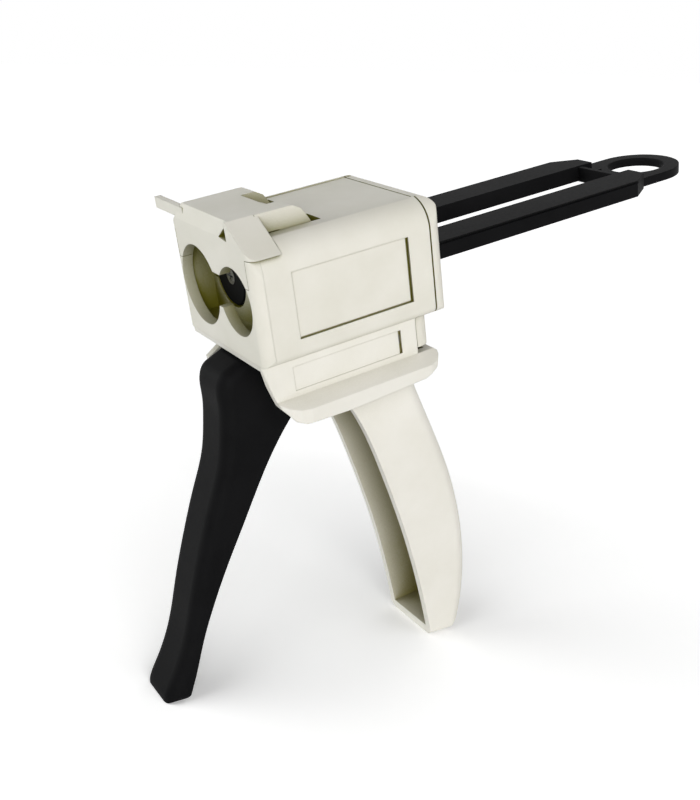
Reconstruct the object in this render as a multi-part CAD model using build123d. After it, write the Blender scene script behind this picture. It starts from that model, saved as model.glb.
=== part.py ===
from build123d import *
from math import atan2, cos, pi, radians, sin, sqrt, tan
import os

# Hand gun that dispenses two-part impression material from a 50 ml twin cartridge.
# Every piece is drawn with the barrel level: X across, Y to the rear, Z up, millimetres,
# with y = 0 at the front face and z = 0 at the middle of the cartridge bores.
# The finished pieces are then tipped nose down so that the gun stands on trigger and grip.

# Stance on a table
STAND_PITCH = 11.0
FOOT_Y = 56.0
FOOT_Z = -140.7
FOOT_CLEAR = 0.05

# Cartridge housing
BODY_HALF_W = 26.0
BODY_LENGTH = 57.1
BODY_BOTTOM = -16.5
BODY_TOP = 17.5
BODY_WALL = 2.8
SHOULDER_Z = 9.5
RIM_X = 19.6
RIM_WIDTH = 0.8
RIM_RISE = 0.35
BOTTOM_RADIUS = 2.5
FRONT_RADIUS = 3.4
FRONT_PLATE = 3.4
SLOT_DEPTH = 6.3
SLOT_FLOOR = -12.8
SLOT_HALF_W = 23.2
BULKHEAD = 7.8
CHAMBER_TOP = 12.2

# Cartridge bores in the front plate
BORE_X_BIG = -10.56
BORE_R_BIG = 12.09
BORE_X_SMALL = 12.5
BORE_R_SMALL = 10.03
BORE_Z_SMALL = 0.4
WAIST_FLOOR = -3.6
WAIST_HALF_W = 3.4

# Side panels
PANEL_Y0 = 11.7
PANEL_BACK = 7.4
PANEL_Y1 = BODY_LENGTH - PANEL_BACK
PANEL_Z0 = -10.5
PANEL_Z1 = 9.0
PANEL_DEPTH = 0.35
REAR_GROOVE_W = 0.9
REAR_GROOVE_DEPTH = 1.4
LOW_GROOVE_W = 0.55
LOW_GROOVE_DEPTH = 0.9

# Rear cap
CAP_GAP = 0.5
CAP_LENGTH = 4.4
CAP_RADIUS = 3.0
CAP_DRAW = 10.0
CAP_SEAM_DEPTH = 0.7
CAP_SCREW_X = 17.0
CAP_SCREW_Z = 9.2
CAP_SCREW_R = 1.1
CAP_SCREW_HEAD_R = 2.1
CAP_SCREW_HEAD = 1.4
CAP_BOSS = 9.0

# Lid over the cartridge slot
LID_TOP = 23.35
LID_TOP_FAR = 16.8
LID_TOP_NEAR = 13.6
LID_SIDE_Z = 14.4
LID_SPLIT_Z = 6.2
LID_PLATE_HALF_W = 22.8
LID_DEPTH = 9.85
LID_REAR = 16.0
LID_WALL = 2.2
LID_GAP = 0.15
LID_REAR_GAP = 0.35
LID_LAP = 1.0
LID_RIM = 0.6
BAND_LOW = 18.4
BAND_HIGH = 22.5
BAND_SETBACK = 0.9
BAND_STEP = 0.3
BAND_END = 8.4
NOTCH_END = 13.0
TAB_LENGTH = 20.0
TAB_Z0 = 18.6
TAB_Z1 = 22.0
TAB_Y0 = 0.4
TAB_THICK = 2.0

# Lid hinge
HINGE_Y = 20.2
HINGE_Z = 15.2
HINGE_PIN_R = 1.4
HINGE_BARREL_R = 5.0
HINGE_TROUGH_R = 7.2
EAR_TROUGH_R = 8.9
EAR_FAR_INNER = 8.3
EAR_NEAR_INNER = 7.0
EAR_NEAR_OUTER = 14.3
HINGE_END_GAP = 0.3
HINGE_PIN_GRIP = 3.6

# Plunger with two toothed rods, a cross plate and a finger ring
ROD_INNER = 8.83
ROD_OUTER = 21.37
ROD_Z0 = -2.3
ROD_Z1 = 3.0
ROD_TAPER_Y = 143.0
ROD_END = 151.0
ROD_END_X = 16.0
ROD_GROOVE_DROP = 0.35
ROD_GROOVE_W = 0.6
ROD_GROOVE_DEPTH = 0.7
TOOTH_PITCH = 3.0
TOOTH_DEPTH = 1.1
TOOTH_LAND = 0.6
TOOTH_RIM = 1.2
TOOTH_COUNT = 36
TOOTH_START = 21.0
CROSS_Y = 144.5
CROSS_THICK = 1.6
CROSS_TOP = 0.5
CROSS_RIB_X = 4.0
RING_Y = 163.0
RING_R = 14.6
RING_HOLE_R = 9.3
RING_Z1 = 0.6
RING_EDGE_R = 0.6

# Pistons
PISTON_FACE_Y = 9.7
PISTON_THICK = 4.6
PISTON_R_BIG = 9.2
PISTON_R_SMALL = 6.8
PISTON_GAP = 0.6
PISTON_CHAMFER = 0.5
PISTON_GROOVE = 0.6
PISTON_SCREW_R = 1.2
PISTON_SCREW_HEAD_R = 2.6
PISTON_SCREW_HEAD = 1.5
PISTON_SCREW_LENGTH = 11.0

# Sliding and parting clearances
RUN_GAP = 0.25
SCREW_GAP = 0.05
PIN_SEAT = 1.5
PIN_GAP = 0.06
SIDE_GAP = 0.4

# Handle frame
FRAME_HALF_W = 23.5
FRAME_WALL = 2.5
FRAME_STEP = 6.1
FRAME_REAR = BODY_LENGTH - FRAME_STEP
FRAME_ROOF = 1.6
FLANGE_CREASE = -28.0
FLANGE_LIP_TOP = -30.7
FLANGE_BOTTOM = -35.0
FLANGE_HALF_W = 28.5
FLANGE_REACH = 6.2
FLANGE_REAR = FRAME_REAR + FLANGE_REACH
FLANGE_FLOOR = 3.0
FLANGE_CORNER = 5.0
FAR_WALL_CUT_Y = (13.0, 8.0)
FAR_WALL_CUT_Z = (-24.0, -27.5)
FLOOR_FRONT = 28.0
LOWER_PANEL_Y0 = 9.2
LOWER_PANEL_BACK = 5.4
LOWER_PANEL_Y1 = FRAME_REAR - LOWER_PANEL_BACK
LOWER_PANEL_Z0 = -26.2
LOWER_PANEL_Z1 = -18.9
LOWER_PANEL_DEPTH = 0.15
LOWER_GROOVE_DEPTH = 1.1

# Grip
GRIP_HALF_W = 12.3
GRIP_WALL = 2.6
GRIP_EDGE_R = 4.5
GRIP_SHELF = 4.0
GRIP_FOOT_R = 3.0

# Trigger
TRIGGER_HALF_W = 9.2
TRIGGER_EDGE_R = 4.0
TRIGGER_FOOT_R = 3.0
TRIGGER_PIN_Y = 25.0
TRIGGER_PIN_Z = -22.5
TRIGGER_PIN_R = 2.5
TRIGGER_BOSS_R = 6.0
ARM_INNER = 5.6
ARM_ROOT = 4.4
TRIGGER_WALL = 3.2
TRIGGER_SHELF_Z = -110.0
TRIGGER_ROOF_Z = -33.0
RIB_HALF = 0.9
PAWL_SPACING = 5.5
ARM_TOP_Z = -9.6
ARM_BOSS_R = 3.4
MOUTH_HALF_W = 14.5
MOUTH_BACK = 10.1
MOUTH_Y1 = BODY_LENGTH - MOUTH_BACK

# Drive pawl carried by the trigger
PAWL_PIN_R = 1.3
PAWL_HUB_R = 3.0
DRIVE_REACH = 4.5
DRIVE_TIP_Z = -3.0
PAWL_TIP_HALF_W = 14.0
PAWL_BAR = 2.8
TIP_LENGTH = 1.6

# Holding pawl and release lever
HOLD_PIN_R = 1.3
HOLD_PIN_BACK = 12.6
HOLD_PIN_Y = BODY_LENGTH - HOLD_PIN_BACK
HOLD_PIN_Z = -10.6
HOLD_LEG = 5.2
HOLD_HUB_R = 2.8
HOLD_REACH = 6.0
HOLD_TIP_Y = HOLD_PIN_Y - HOLD_REACH
HOLD_TIP_Z = -2.9
ARM_TOP_Y = HOLD_TIP_Y - PAWL_SPACING
DRIVE_TIP_Y = ARM_TOP_Y - DRIVE_REACH
HOLD_HALF_W = 4.0
HOLD_LEG_SET = 0.5
HOLD_LEG_Y = HOLD_PIN_Y - HOLD_LEG_SET
LEG_THICK = 1.5
RELEASE_PIN_BACK = 5.0
RELEASE_PIN_Y = FRAME_REAR - RELEASE_PIN_BACK
RELEASE_PIN_Z = -22.0
RELEASE_PIN_R = 1.5
RELEASE_HUB_R = 3.2
RELEASE_FINGER_Z = -14.0
RELEASE_PLATE = 2.6
RELEASE_REACH = 5.6
RELEASE_REAR = FRAME_REAR + RELEASE_REACH
RELEASE_GAP = 0.4
RELEASE_TOP_GAP = 0.5
RELEASE_DROP_GAP = 1.6
THUMB_LEDGE = 3.6
LEDGE_HALF_W = 8.0
LEDGE_THICK = 2.2
RELEASE_ARM_HALF = 6.0
FINGER_BACK = 0.9
FINGER_THICK = 2.2
FINGER_Y1 = HOLD_PIN_Y - FINGER_BACK
FINGER_Y0 = FINGER_Y1 - FINGER_THICK
FINGER_HALF_W = 3.0

# Springs
WIRE_R = 0.55
SPRING_COIL_R = 3.5
SPRING_PITCH = 1.7
SPRING_TURNS = 3
SPRING_LEG_IN = 5.0
SPRING_LEG_OUT = 9.0
SPRING_X = 11.0
STEPS_PER_TURN = 4
GAP_SAMPLES = 240
LEAF_THICK = 0.5
LEAF_WIDTH = 6.0
LEAF_Y0 = 27.0
LEAF_Z0 = -19.2
LEAF_Z1 = -15.6
DRIVE_LEAF_SET = 1.4
DRIVE_LEAF_Y = DRIVE_TIP_Y - DRIVE_LEAF_SET
DRIVE_LEAF_Z = -9.0
HOLD_LEAF_SET = 1.1
HOLD_LEAF_Y = HOLD_PIN_Y + HOLD_LEAF_SET
HOLD_LEAF_Z = -7.3
HOLD_LEAF_DROP = 5.0
HOLD_LEAF_RISE = 1.5
LEAF_BEND = 0.6

# Screws that join housing and handle frame
JOIN_SCREW_SET = 2.8
JOIN_SCREW_FRONT = 12.6
JOIN_SCREW_BACK = 8.8
JOIN_SCREW_X = FRAME_HALF_W - FRAME_WALL - JOIN_SCREW_SET
JOIN_SCREW_Y = (JOIN_SCREW_FRONT, BODY_LENGTH - JOIN_SCREW_BACK)
JOIN_SCREW_R = 1.2
JOIN_SCREW_LENGTH = 7.4
JOIN_SCREW_HEAD_R = 2.2
JOIN_SCREW_HEAD = 1.6
JOIN_BOSS = 3.2

# Bushes at the trigger pin and retaining clips
BUSH_WALL = 0.9
BUSH_FLANGE = 1.0
CLIP_R = 2.6
CLIP_THICK = 0.7
CLIP_X = 9.35
BUSH_LENGTH = 5.0

# Cross recesses in the screw heads
CROSS_SHARE = 0.65
CROSS_SLOT = 0.3

# Tail of the lid in side view, and of its two ears
LID_TAIL = (
    (LID_REAR, LID_TOP),
    (17.3, 21.7),
    (21.0, 20.3),
    (24.5, 18.6),
    (26.6, 17.7),
    (26.4, 16.9),
)
EAR_TAIL = ((HINGE_Y + 0.4, LID_TOP), (23.2, 21.9), (24.9, 19.2), (26.2, 16.9))

# Side outlines, as points (y, z)
FRAME_FRONT = ((1.2, -22.8), (2.3, -26.4), (3.5, -29.9), (6.3, -33.8), (9.0, -35.0))
GRIP_FRONT = (
    (26.5, -34.0),
    (35.2, -50.5),
    (41.4, -71.5),
    (46.6, -94.5),
    (52.5, -139.0),
)
GRIP_REAR = (
    (54.6, -33.0),
    (59.6, -51.5),
    (68.0, -81.0),
    (70.8, -103.4),
    (67.3, -134.2),
)
GRIP_FOOT = (
    (52.7, -144.0),
    (58.4, -144.0),
    (58.9, -141.25),
    (61.6, -140.3),
    (64.4, -138.6),
    (66.3, -136.7),
)
TRIGGER_FRONT = (
    (-3.6, -21.1),
    (-6.2, -23.0),
    (-7.5, -26.2),
    (-7.8, -32.5),
    (-8.6, -38.5),
    (-11.3, -50.0),
    (-16.0, -60.5),
    (-21.6, -73.3),
    (-27.7, -89.0),
    (-32.6, -102.5),
    (-38.9, -114.0),
    (-42.0, -118.7),
    (-42.9, -121.2),
    (-42.3, -124.2),
    (-40.5, -127.0),
)
TRIGGER_REAR = (
    (20.5, -34.5),
    (11.9, -42.3),
    (3.2, -52.9),
    (-7.4, -69.1),
    (-15.7, -82.0),
    (-23.4, -95.4),
    (-27.6, -103.9),
    (-31.0, -112.1),
    (-33.9, -118.4),
)
TRIGGER_CROWN = ((0.5, -19.5), (20.0, -17.9), (27.0, -29.0))
TRIGGER_FOOT = (
    (-38.6, -127.0),
    (-36.9, -122.6),
    (-35.1, -121.0),
)

SLOT_Y0 = FRONT_PLATE
SLOT_Y1 = FRONT_PLATE + SLOT_DEPTH
BULK_Y1 = SLOT_Y1 + BULKHEAD
CAP_Y0 = BODY_LENGTH + CAP_GAP
CAP_Y1 = BODY_LENGTH + CAP_LENGTH
FLOOR_SLOPE = tan(radians(STAND_PITCH))
PISTON_BACK_Y = PISTON_FACE_Y + PISTON_THICK
FAR = 200.0


def box(x0, x1, y0, y1, z0, z1):
    """Make a block from its two corners."""
    centre = ((x0 + x1) / 2, (y0 + y1) / 2, (z0 + z1) / 2)
    return Pos(*centre) * Box(abs(x1 - x0), abs(y1 - y0), abs(z1 - z0))


def side_slab(outline, x0, x1):
    """Extrude a closed outline of the YZ plane from x0 to x1."""
    return Pos(x0, 0, 0) * extrude(Plane.YZ * outline, amount=x1 - x0)


def front_slab(outline, y0, y1):
    """Extrude a closed outline of the XZ plane from y0 to y1."""
    plane = Plane(origin=(0, y0, 0), x_dir=(1, 0, 0), z_dir=(0, -1, 0))
    return extrude(plane * outline, amount=y0 - y1)


def plan_slab(outline, z0, z1):
    """Extrude a closed outline of the XY plane from z0 to z1."""
    return Pos(0, 0, z0) * extrude(Plane.XY * outline, amount=z1 - z0)


def polygon(*points):
    """Close a run of straight lines into a face."""
    return make_face(Polyline(*points, close=True))


def bar_x(radius, x0, x1, y, z):
    """Make a round bar along X."""
    return side_slab(Pos(y, z) * Circle(radius), x0, x1)


def bar_y(radius, y0, y1, x, z):
    """Make a round bar along Y."""
    return front_slab(Pos(x, z) * Circle(radius), y0, y1)


def bar_z(radius, z0, z1, x, y):
    """Make a round bar along Z."""
    return plan_slab(Pos(x, y) * Circle(radius), z0, z1)


def both_sides(shape):
    """Return the shape with its mirror image across the middle plane."""
    return shape + mirror(shape, about=Plane.YZ)


def floor_z(y):
    """Height of the table under the level gun at a given y."""
    return FOOT_Z - FLOOR_SLOPE * (y - FOOT_Y)


def above_floor():
    """Half space over the table, as a large block."""
    outline = polygon((-FAR, floor_z(-FAR)), (FAR, floor_z(FAR)), (FAR, FAR), (-FAR, FAR))
    return side_slab(outline, -FAR, FAR)


def rounded_foot_room(half_w, radius):
    """Space around a foot that is half_w wide to each side, with rounded lower corners."""
    outline = Pos(0, FAR / 2 - FOOT_CLEAR) * Rectangle(2 * (half_w + FOOT_CLEAR), FAR)
    outline = fillet(outline.vertices().group_by(Axis.Y)[0], radius)
    room = front_slab(outline, -FAR, FAR)
    return Pos(0, FOOT_Y, FOOT_Z) * (Rot(-STAND_PITCH, 0, 0) * room)


def body_section(inset=0.0):
    """Outline of the housing and of the rear cap, seen from the front."""
    rise = BODY_TOP + RIM_RISE - inset
    low = BODY_BOTTOM + inset
    w = BODY_HALF_W - inset
    rim = RIM_X - inset
    top = BODY_TOP - inset
    turn = BOTTOM_RADIUS * (1 - sqrt(0.5))
    drop = rise - SHOULDER_Z
    radius = ((w - rim) ** 2 + drop**2) / (2 * (w - rim))
    half_angle = atan2(drop, rim - w + radius) / 2
    middle = (w - radius + radius * cos(half_angle), SHOULDER_Z + radius * sin(half_angle))
    lines = [
        Line((0, top), (0, low)),
        Line((0, low), (w - BOTTOM_RADIUS, low)),
        ThreePointArc((w - BOTTOM_RADIUS, low), (w - turn, low + turn), (w, low + BOTTOM_RADIUS)),
        Line((w, low + BOTTOM_RADIUS), (w, SHOULDER_Z)),
        ThreePointArc((w, SHOULDER_Z), middle, (rim, rise)),
        Line((rim, rise), (rim - RIM_WIDTH, rise)),
        Line((rim - RIM_WIDTH, rise), (rim - RIM_WIDTH, top)),
        Line((rim - RIM_WIDTH, top), (0, top)),
    ]
    half = make_face(lines)
    return half + mirror(half, about=Plane.YZ)


def rounded_front(y0, y1, half_w, radius):
    """Plan outline with its two front corners rounded."""
    outline = Pos(0, (y0 + y1) / 2) * Rectangle(2 * half_w, y1 - y0)
    return fillet(outline.vertices().group_by(Axis.Y)[0], radius)


def bore_cutters(y0, y1):
    """Figure-eight opening for the two cartridge barrels."""
    big = bar_y(BORE_R_BIG, y0, y1, BORE_X_BIG, 0)
    small = bar_y(BORE_R_SMALL, y0, y1, BORE_X_SMALL, BORE_Z_SMALL)
    middle = (BORE_X_BIG + BORE_R_BIG + BORE_X_SMALL - BORE_R_SMALL) / 2
    waist = box(
        middle - WAIST_HALF_W, middle + WAIST_HALF_W, y0, y1, WAIST_FLOOR, LID_SPLIT_Z + LID_GAP
    )
    return big + small + waist


def panel_cutter(x, y0, y1, z0, z1, depth, rear_depth, low_depth):
    """Shallow panel in a side wall with finer grooves along its rear and lower edges."""
    field = box(x - depth, x + 1, y0, y1, z0, z1)
    rear = box(x - rear_depth, x + 1, y1 - REAR_GROOVE_W, y1, z0, z1)
    lower = box(x - low_depth, x + 1, y0, y1, z0, z0 + LOW_GROOVE_W)
    return both_sides(field + rear + lower)


def rod_passage(y0, y1):
    """Wide slot that both rods, their cross plate and the ring pass through."""
    half_w = ROD_OUTER + RUN_GAP
    return box(-half_w, half_w, y0, y1, ROD_Z0 - RUN_GAP, ROD_Z1 + RUN_GAP)


def hinge_trough():
    """Hollow in the top of the housing that the lid's hinge turns in."""
    far_end = -LID_TOP_FAR - HINGE_END_GAP
    near_end = EAR_NEAR_OUTER + HINGE_END_GAP
    trough = bar_x(HINGE_TROUGH_R, far_end, near_end, HINGE_Y, HINGE_Z)
    trough += bar_x(EAR_TROUGH_R, far_end, -EAR_FAR_INNER + HINGE_END_GAP, HINGE_Y, HINGE_Z)
    trough += bar_x(EAR_TROUGH_R, EAR_NEAR_INNER - HINGE_END_GAP, near_end, HINGE_Y, HINGE_Z)
    return trough


def hinge_pin(gap=0.0):
    """Pin of the lid hinge, or its hole when a gap is given."""
    x0 = -LID_TOP_FAR - HINGE_PIN_GRIP
    x1 = EAR_NEAR_OUTER + HINGE_PIN_GRIP
    return bar_x(HINGE_PIN_R + gap, x0, x1, HINGE_Y, HINGE_Z)


def mechanism_mouth(z0, z1):
    """Opening through which trigger arms and release finger reach the rods."""
    return box(-MOUTH_HALF_W, MOUTH_HALF_W, BULK_Y1, MOUTH_Y1, z0, z1)


def join_screw_holes(radius, z0, z1):
    """Upright holes for the screws that hold the housing on the handle frame."""
    holes = [bar_z(radius, z0, z1, JOIN_SCREW_X, y) for y in JOIN_SCREW_Y]
    return both_sides(holes[0] + holes[1])


def cap_screw_holes(radius, y0, y1):
    """Holes along Y for the four rear cap screws."""
    upper = bar_y(radius, y0, y1, CAP_SCREW_X, CAP_SCREW_Z)
    lower = bar_y(radius, y0, y1, CAP_SCREW_X, -CAP_SCREW_Z)
    return both_sides(upper + lower)


def housing_shell():
    """Upper shell: front plate, cartridge slot, bulkhead and chamber for the mechanism."""
    shell = front_slab(body_section(), 0, BODY_LENGTH)
    shell &= plan_slab(rounded_front(0, BODY_LENGTH, BODY_HALF_W, FRONT_RADIUS), -FAR, FAR)
    shell -= box(-FAR, FAR, -1, LID_DEPTH + LID_REAR_GAP, LID_SIDE_Z, FAR)
    shell -= box(-LID_PLATE_HALF_W, LID_PLATE_HALF_W, -1, SLOT_Y0 + LID_GAP, LID_SPLIT_Z, FAR)
    shell -= box(-SLOT_HALF_W, SLOT_HALF_W, SLOT_Y0, SLOT_Y1, SLOT_FLOOR, FAR)
    shell -= bore_cutters(-1, SLOT_Y0 + LID_GAP)
    pocket_y1 = PISTON_BACK_Y + PISTON_GAP
    shell -= bar_y(PISTON_R_BIG + PISTON_GAP, SLOT_Y1 - 0.1, pocket_y1, BORE_X_BIG, 0)
    shell -= bar_y(
        PISTON_R_SMALL + PISTON_GAP, SLOT_Y1 - 0.1, pocket_y1, BORE_X_SMALL, BORE_Z_SMALL
    )
    shell -= rod_passage(SLOT_Y1 - 0.1, BULK_Y1 + 1)
    inner = BODY_HALF_W - BODY_WALL
    floor_top = BODY_BOTTOM + BODY_WALL
    chamber = box(-inner, inner, BULK_Y1, FAR, floor_top, CHAMBER_TOP)
    screw_boss = bar_y(
        CAP_SCREW_R + 1.6, BODY_LENGTH - CAP_BOSS, BODY_LENGTH, CAP_SCREW_X, CAP_SCREW_Z
    )
    screw_boss += box(
        CAP_SCREW_X, inner + 0.5, BODY_LENGTH - CAP_BOSS, BODY_LENGTH,
        CAP_SCREW_Z - 1, CAP_SCREW_Z + 1,
    )
    screw_boss += mirror(screw_boss, about=Plane.XY)
    floor_boss = bar_z(
        JOIN_SCREW_R + 1.6, floor_top - 1, floor_top + JOIN_BOSS, JOIN_SCREW_X, JOIN_SCREW_Y[1]
    )
    floor_boss += box(
        JOIN_SCREW_X, inner + 0.5, JOIN_SCREW_Y[1] - 1, JOIN_SCREW_Y[1] + 1,
        floor_top - 1, floor_top + JOIN_BOSS,
    )
    shell -= chamber - both_sides(screw_boss + floor_boss)
    shell -= mechanism_mouth(BODY_BOTTOM - 1, floor_top + 1)
    shell -= hinge_trough()
    shell -= hinge_pin()
    shell -= panel_cutter(
        BODY_HALF_W,
        PANEL_Y0,
        PANEL_Y1,
        PANEL_Z0,
        PANEL_Z1,
        PANEL_DEPTH,
        REAR_GROOVE_DEPTH,
        LOW_GROOVE_DEPTH,
    )
    shell -= cap_screw_holes(CAP_SCREW_R, BODY_LENGTH - CAP_BOSS + 0.8, BODY_LENGTH + 1)
    shell -= join_screw_holes(
        JOIN_SCREW_R, BODY_BOTTOM - 1, BODY_BOTTOM - FRAME_ROOF + JOIN_SCREW_LENGTH
    )
    shell -= cross_pin(HOLD_PIN_R, HOLD_PIN_Y, HOLD_PIN_Z, inner + PIN_SEAT)
    return shell


def rear_cap():
    """Cover that closes the housing behind and guides the rods."""
    cap = front_slab(body_section(), CAP_Y0, CAP_Y1)
    plan = Pos(0, CAP_Y1 - CAP_DRAW / 2) * Rectangle(2 * BODY_HALF_W, CAP_DRAW)
    plan = fillet(plan.vertices().group_by(Axis.Y)[-1], CAP_RADIUS)
    height = BODY_TOP + RIM_RISE - BODY_BOTTOM
    level = (BODY_TOP + RIM_RISE + BODY_BOTTOM) / 2
    side = Pos(CAP_Y1 - CAP_DRAW / 2, level) * Rectangle(CAP_DRAW, height)
    side = fillet(side.vertices().group_by(Axis.X)[-1], CAP_RADIUS)
    cap = cap & plan_slab(plan, -FAR, FAR) & side_slab(side, -FAR, FAR)
    cap += front_slab(body_section(CAP_SEAM_DEPTH), BODY_LENGTH, CAP_Y0)
    cap -= rod_passage(BODY_LENGTH - 1, CAP_Y1 + 1)
    cap -= cap_screw_holes(CAP_SCREW_R, BODY_LENGTH - 1, CAP_Y1 + 1)
    cap -= cap_screw_holes(CAP_SCREW_HEAD_R + SIDE_GAP / 4, CAP_Y1 - CAP_SCREW_HEAD, CAP_Y1 + 1)
    return cap


def rear_cap_screws():
    """Four countersunk-seat screws that hold the rear cap."""
    head_y = CAP_Y1 - CAP_SCREW_HEAD
    shank = cap_screw_holes(CAP_SCREW_R - SCREW_GAP, BODY_LENGTH - CAP_BOSS + 1.2, head_y)
    head = cap_screw_holes(CAP_SCREW_HEAD_R, head_y, CAP_Y1 - 0.1)
    slot_a = cap_screw_crosses()
    return shank + head - slot_a


def cap_screw_crosses():
    """Cross recesses in the heads of the rear cap screws."""
    arm = CAP_SCREW_HEAD_R * CROSS_SHARE
    y0 = CAP_Y1 - CAP_SCREW_HEAD * CROSS_SHARE
    cross = box(
        CAP_SCREW_X - arm,
        CAP_SCREW_X + arm,
        y0,
        CAP_Y1,
        CAP_SCREW_Z - CROSS_SLOT,
        CAP_SCREW_Z + CROSS_SLOT,
    )
    cross += box(
        CAP_SCREW_X - CROSS_SLOT,
        CAP_SCREW_X + CROSS_SLOT,
        y0,
        CAP_Y1,
        CAP_SCREW_Z - arm,
        CAP_SCREW_Z + arm,
    )
    return both_sides(cross + mirror(cross, about=Plane.XY))


def cross_pin(radius, y, z, half_length):
    """Round pin across the gun, or the hole that it fills."""
    return bar_x(radius, -half_length, half_length, y, z)


def lid_outline():
    """Front view of the lid over the parting line of its sides."""
    base = LID_SIDE_Z + LID_GAP
    return polygon(
        (-BODY_HALF_W, base), (BODY_HALF_W, base), (LID_TOP_NEAR, LID_TOP), (-LID_TOP_FAR, LID_TOP)
    )


def lid_hinge_outline(tail):
    """Side view of the hinged rear part of the lid, ending in the given tail points."""
    low = BODY_TOP + LID_GAP
    front = LID_DEPTH - LID_LAP
    return polygon(
        (front, low), (front, LID_TOP), *tail, (HINGE_Y + HINGE_PIN_R, HINGE_Z), (HINGE_Y, low)
    )


def cartridge_lid():
    """Lid that locks the cartridge flange in its slot, with its finger tab and hinge ears."""
    lid = front_slab(lid_outline(), 0, LID_DEPTH)
    lid &= plan_slab(rounded_front(0, LID_DEPTH, BODY_HALF_W, FRONT_RADIUS), -FAR, FAR)
    plate_w = LID_PLATE_HALF_W - LID_GAP
    lid += box(-plate_w, plate_w, 0, FRONT_PLATE, LID_SPLIT_Z + LID_GAP, LID_SIDE_Z + 1)
    hollow_top = LID_TOP - LID_WALL
    hollow_z = BODY_TOP - LID_RIM
    hollow_w = SLOT_HALF_W - FRONT_PLATE
    lid -= box(-hollow_w, hollow_w, FRONT_PLATE, FAR, LID_SIDE_Z - 1, hollow_z)
    lid -= box(
        -LID_TOP_FAR + LID_WALL,
        LID_TOP_NEAR - LID_WALL,
        FRONT_PLATE,
        LID_DEPTH - LID_RIM,
        hollow_z - 0.1,
        hollow_top,
    )
    lid -= bore_cutters(-1, FRONT_PLATE + 1)
    middle = lid_hinge_outline(LID_TAIL)
    ear = lid_hinge_outline(EAR_TAIL)
    lid += side_slab(middle, -EAR_FAR_INNER - LID_LAP, EAR_NEAR_INNER + LID_LAP)
    lid += side_slab(ear, -LID_TOP_FAR, -EAR_FAR_INNER) + side_slab(
        ear, EAR_NEAR_INNER, EAR_NEAR_OUTER
    )
    lid += bar_x(HINGE_BARREL_R, -LID_TOP_FAR, EAR_NEAR_OUTER, HINGE_Y, HINGE_Z)
    lid -= hinge_pin(PIN_GAP)
    band = polygon(
        (-1, BAND_LOW),
        (0, BAND_LOW),
        (BAND_SETBACK, BAND_HIGH),
        (BAND_SETBACK + BAND_STEP, LID_TOP + 1),
        (-1, LID_TOP + 1),
    )
    notch_end = NOTCH_END - BAND_STEP / 2
    lid -= side_slab(band, -FAR, notch_end)
    notch = polygon(
        (BAND_END, BAND_LOW),
        (notch_end, BAND_HIGH),
        (notch_end + BAND_STEP, BAND_LOW - 2 * BAND_STEP),
    )
    lid -= front_slab(notch, -1, BAND_SETBACK + 4 * BAND_STEP)
    tab_root = -LID_TOP_FAR + 1
    tab_end = tab_root - TAB_LENGTH - 1
    tab = box(tab_end, tab_root, TAB_Y0, TAB_Y0 + TAB_THICK, TAB_Z0, TAB_Z1)
    tab = fillet(tab.faces().sort_by(Axis.X)[0].edges(), TAB_THICK * 0.3)
    return lid + tab


def plunger_rods():
    """Twin toothed rods with the cross plate and the flat finger ring behind them."""
    outline = polygon(
        (ROD_INNER, PISTON_BACK_Y),
        (ROD_OUTER, PISTON_BACK_Y),
        (ROD_OUTER, ROD_TAPER_Y),
        (ROD_END_X, ROD_END),
        (ROD_INNER, ROD_END),
    )
    rod = plan_slab(outline, ROD_Z0, ROD_Z1)
    groove_top = ROD_Z1 - ROD_GROOVE_DROP
    groove_x = ROD_OUTER - ROD_GROOVE_DEPTH
    rod -= box(groove_x, FAR, BULK_Y1, FAR, groove_top - ROD_GROOVE_W, groove_top)
    for index in range(TOOTH_COUNT):
        y = TOOTH_START + index * TOOTH_PITCH
        tooth = polygon(
            (y, ROD_Z0 - 0.1),
            (y + TOOTH_PITCH - TOOTH_LAND, ROD_Z0 - 0.1),
            (y, ROD_Z0 + TOOTH_DEPTH),
        )
        rod -= side_slab(tooth, ROD_INNER + TOOTH_RIM, ROD_OUTER - TOOTH_RIM)
    whole = both_sides(rod)
    whole += box(-ROD_INNER, ROD_INNER, CROSS_Y, ROD_END, ROD_Z0, CROSS_TOP)
    whole += box(-ROD_INNER, ROD_INNER, CROSS_Y, CROSS_Y + CROSS_THICK, ROD_Z0, ROD_Z1 - RIM_RISE)
    rib = box(
        CROSS_RIB_X, CROSS_RIB_X + CROSS_THICK, CROSS_Y, ROD_END, ROD_Z0, ROD_Z1 - CROSS_THICK
    )
    whole += both_sides(rib)
    tongue = Pos(0, (ROD_END + RING_Y) / 2) * Rectangle(2 * RING_R, RING_Y - ROD_END)
    ring = plan_slab(tongue + Pos(0, RING_Y) * Circle(RING_R), ROD_Z0, RING_Z1)
    ring -= bar_z(RING_HOLE_R, -FAR, FAR, 0, RING_Y)
    hole_edges = ring.edges().filter_by(GeomType.CIRCLE).filter_by(
        lambda e: e.radius < RING_HOLE_R + 1
    )
    whole += fillet(hole_edges, RING_EDGE_R)
    for x, z in ((BORE_X_BIG, 0), (BORE_X_SMALL, BORE_Z_SMALL)):
        whole -= bar_y(
            PISTON_SCREW_R, PISTON_BACK_Y - 1, PISTON_FACE_Y + PISTON_SCREW_LENGTH + 0.5, x, z
        )
    return whole


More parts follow.
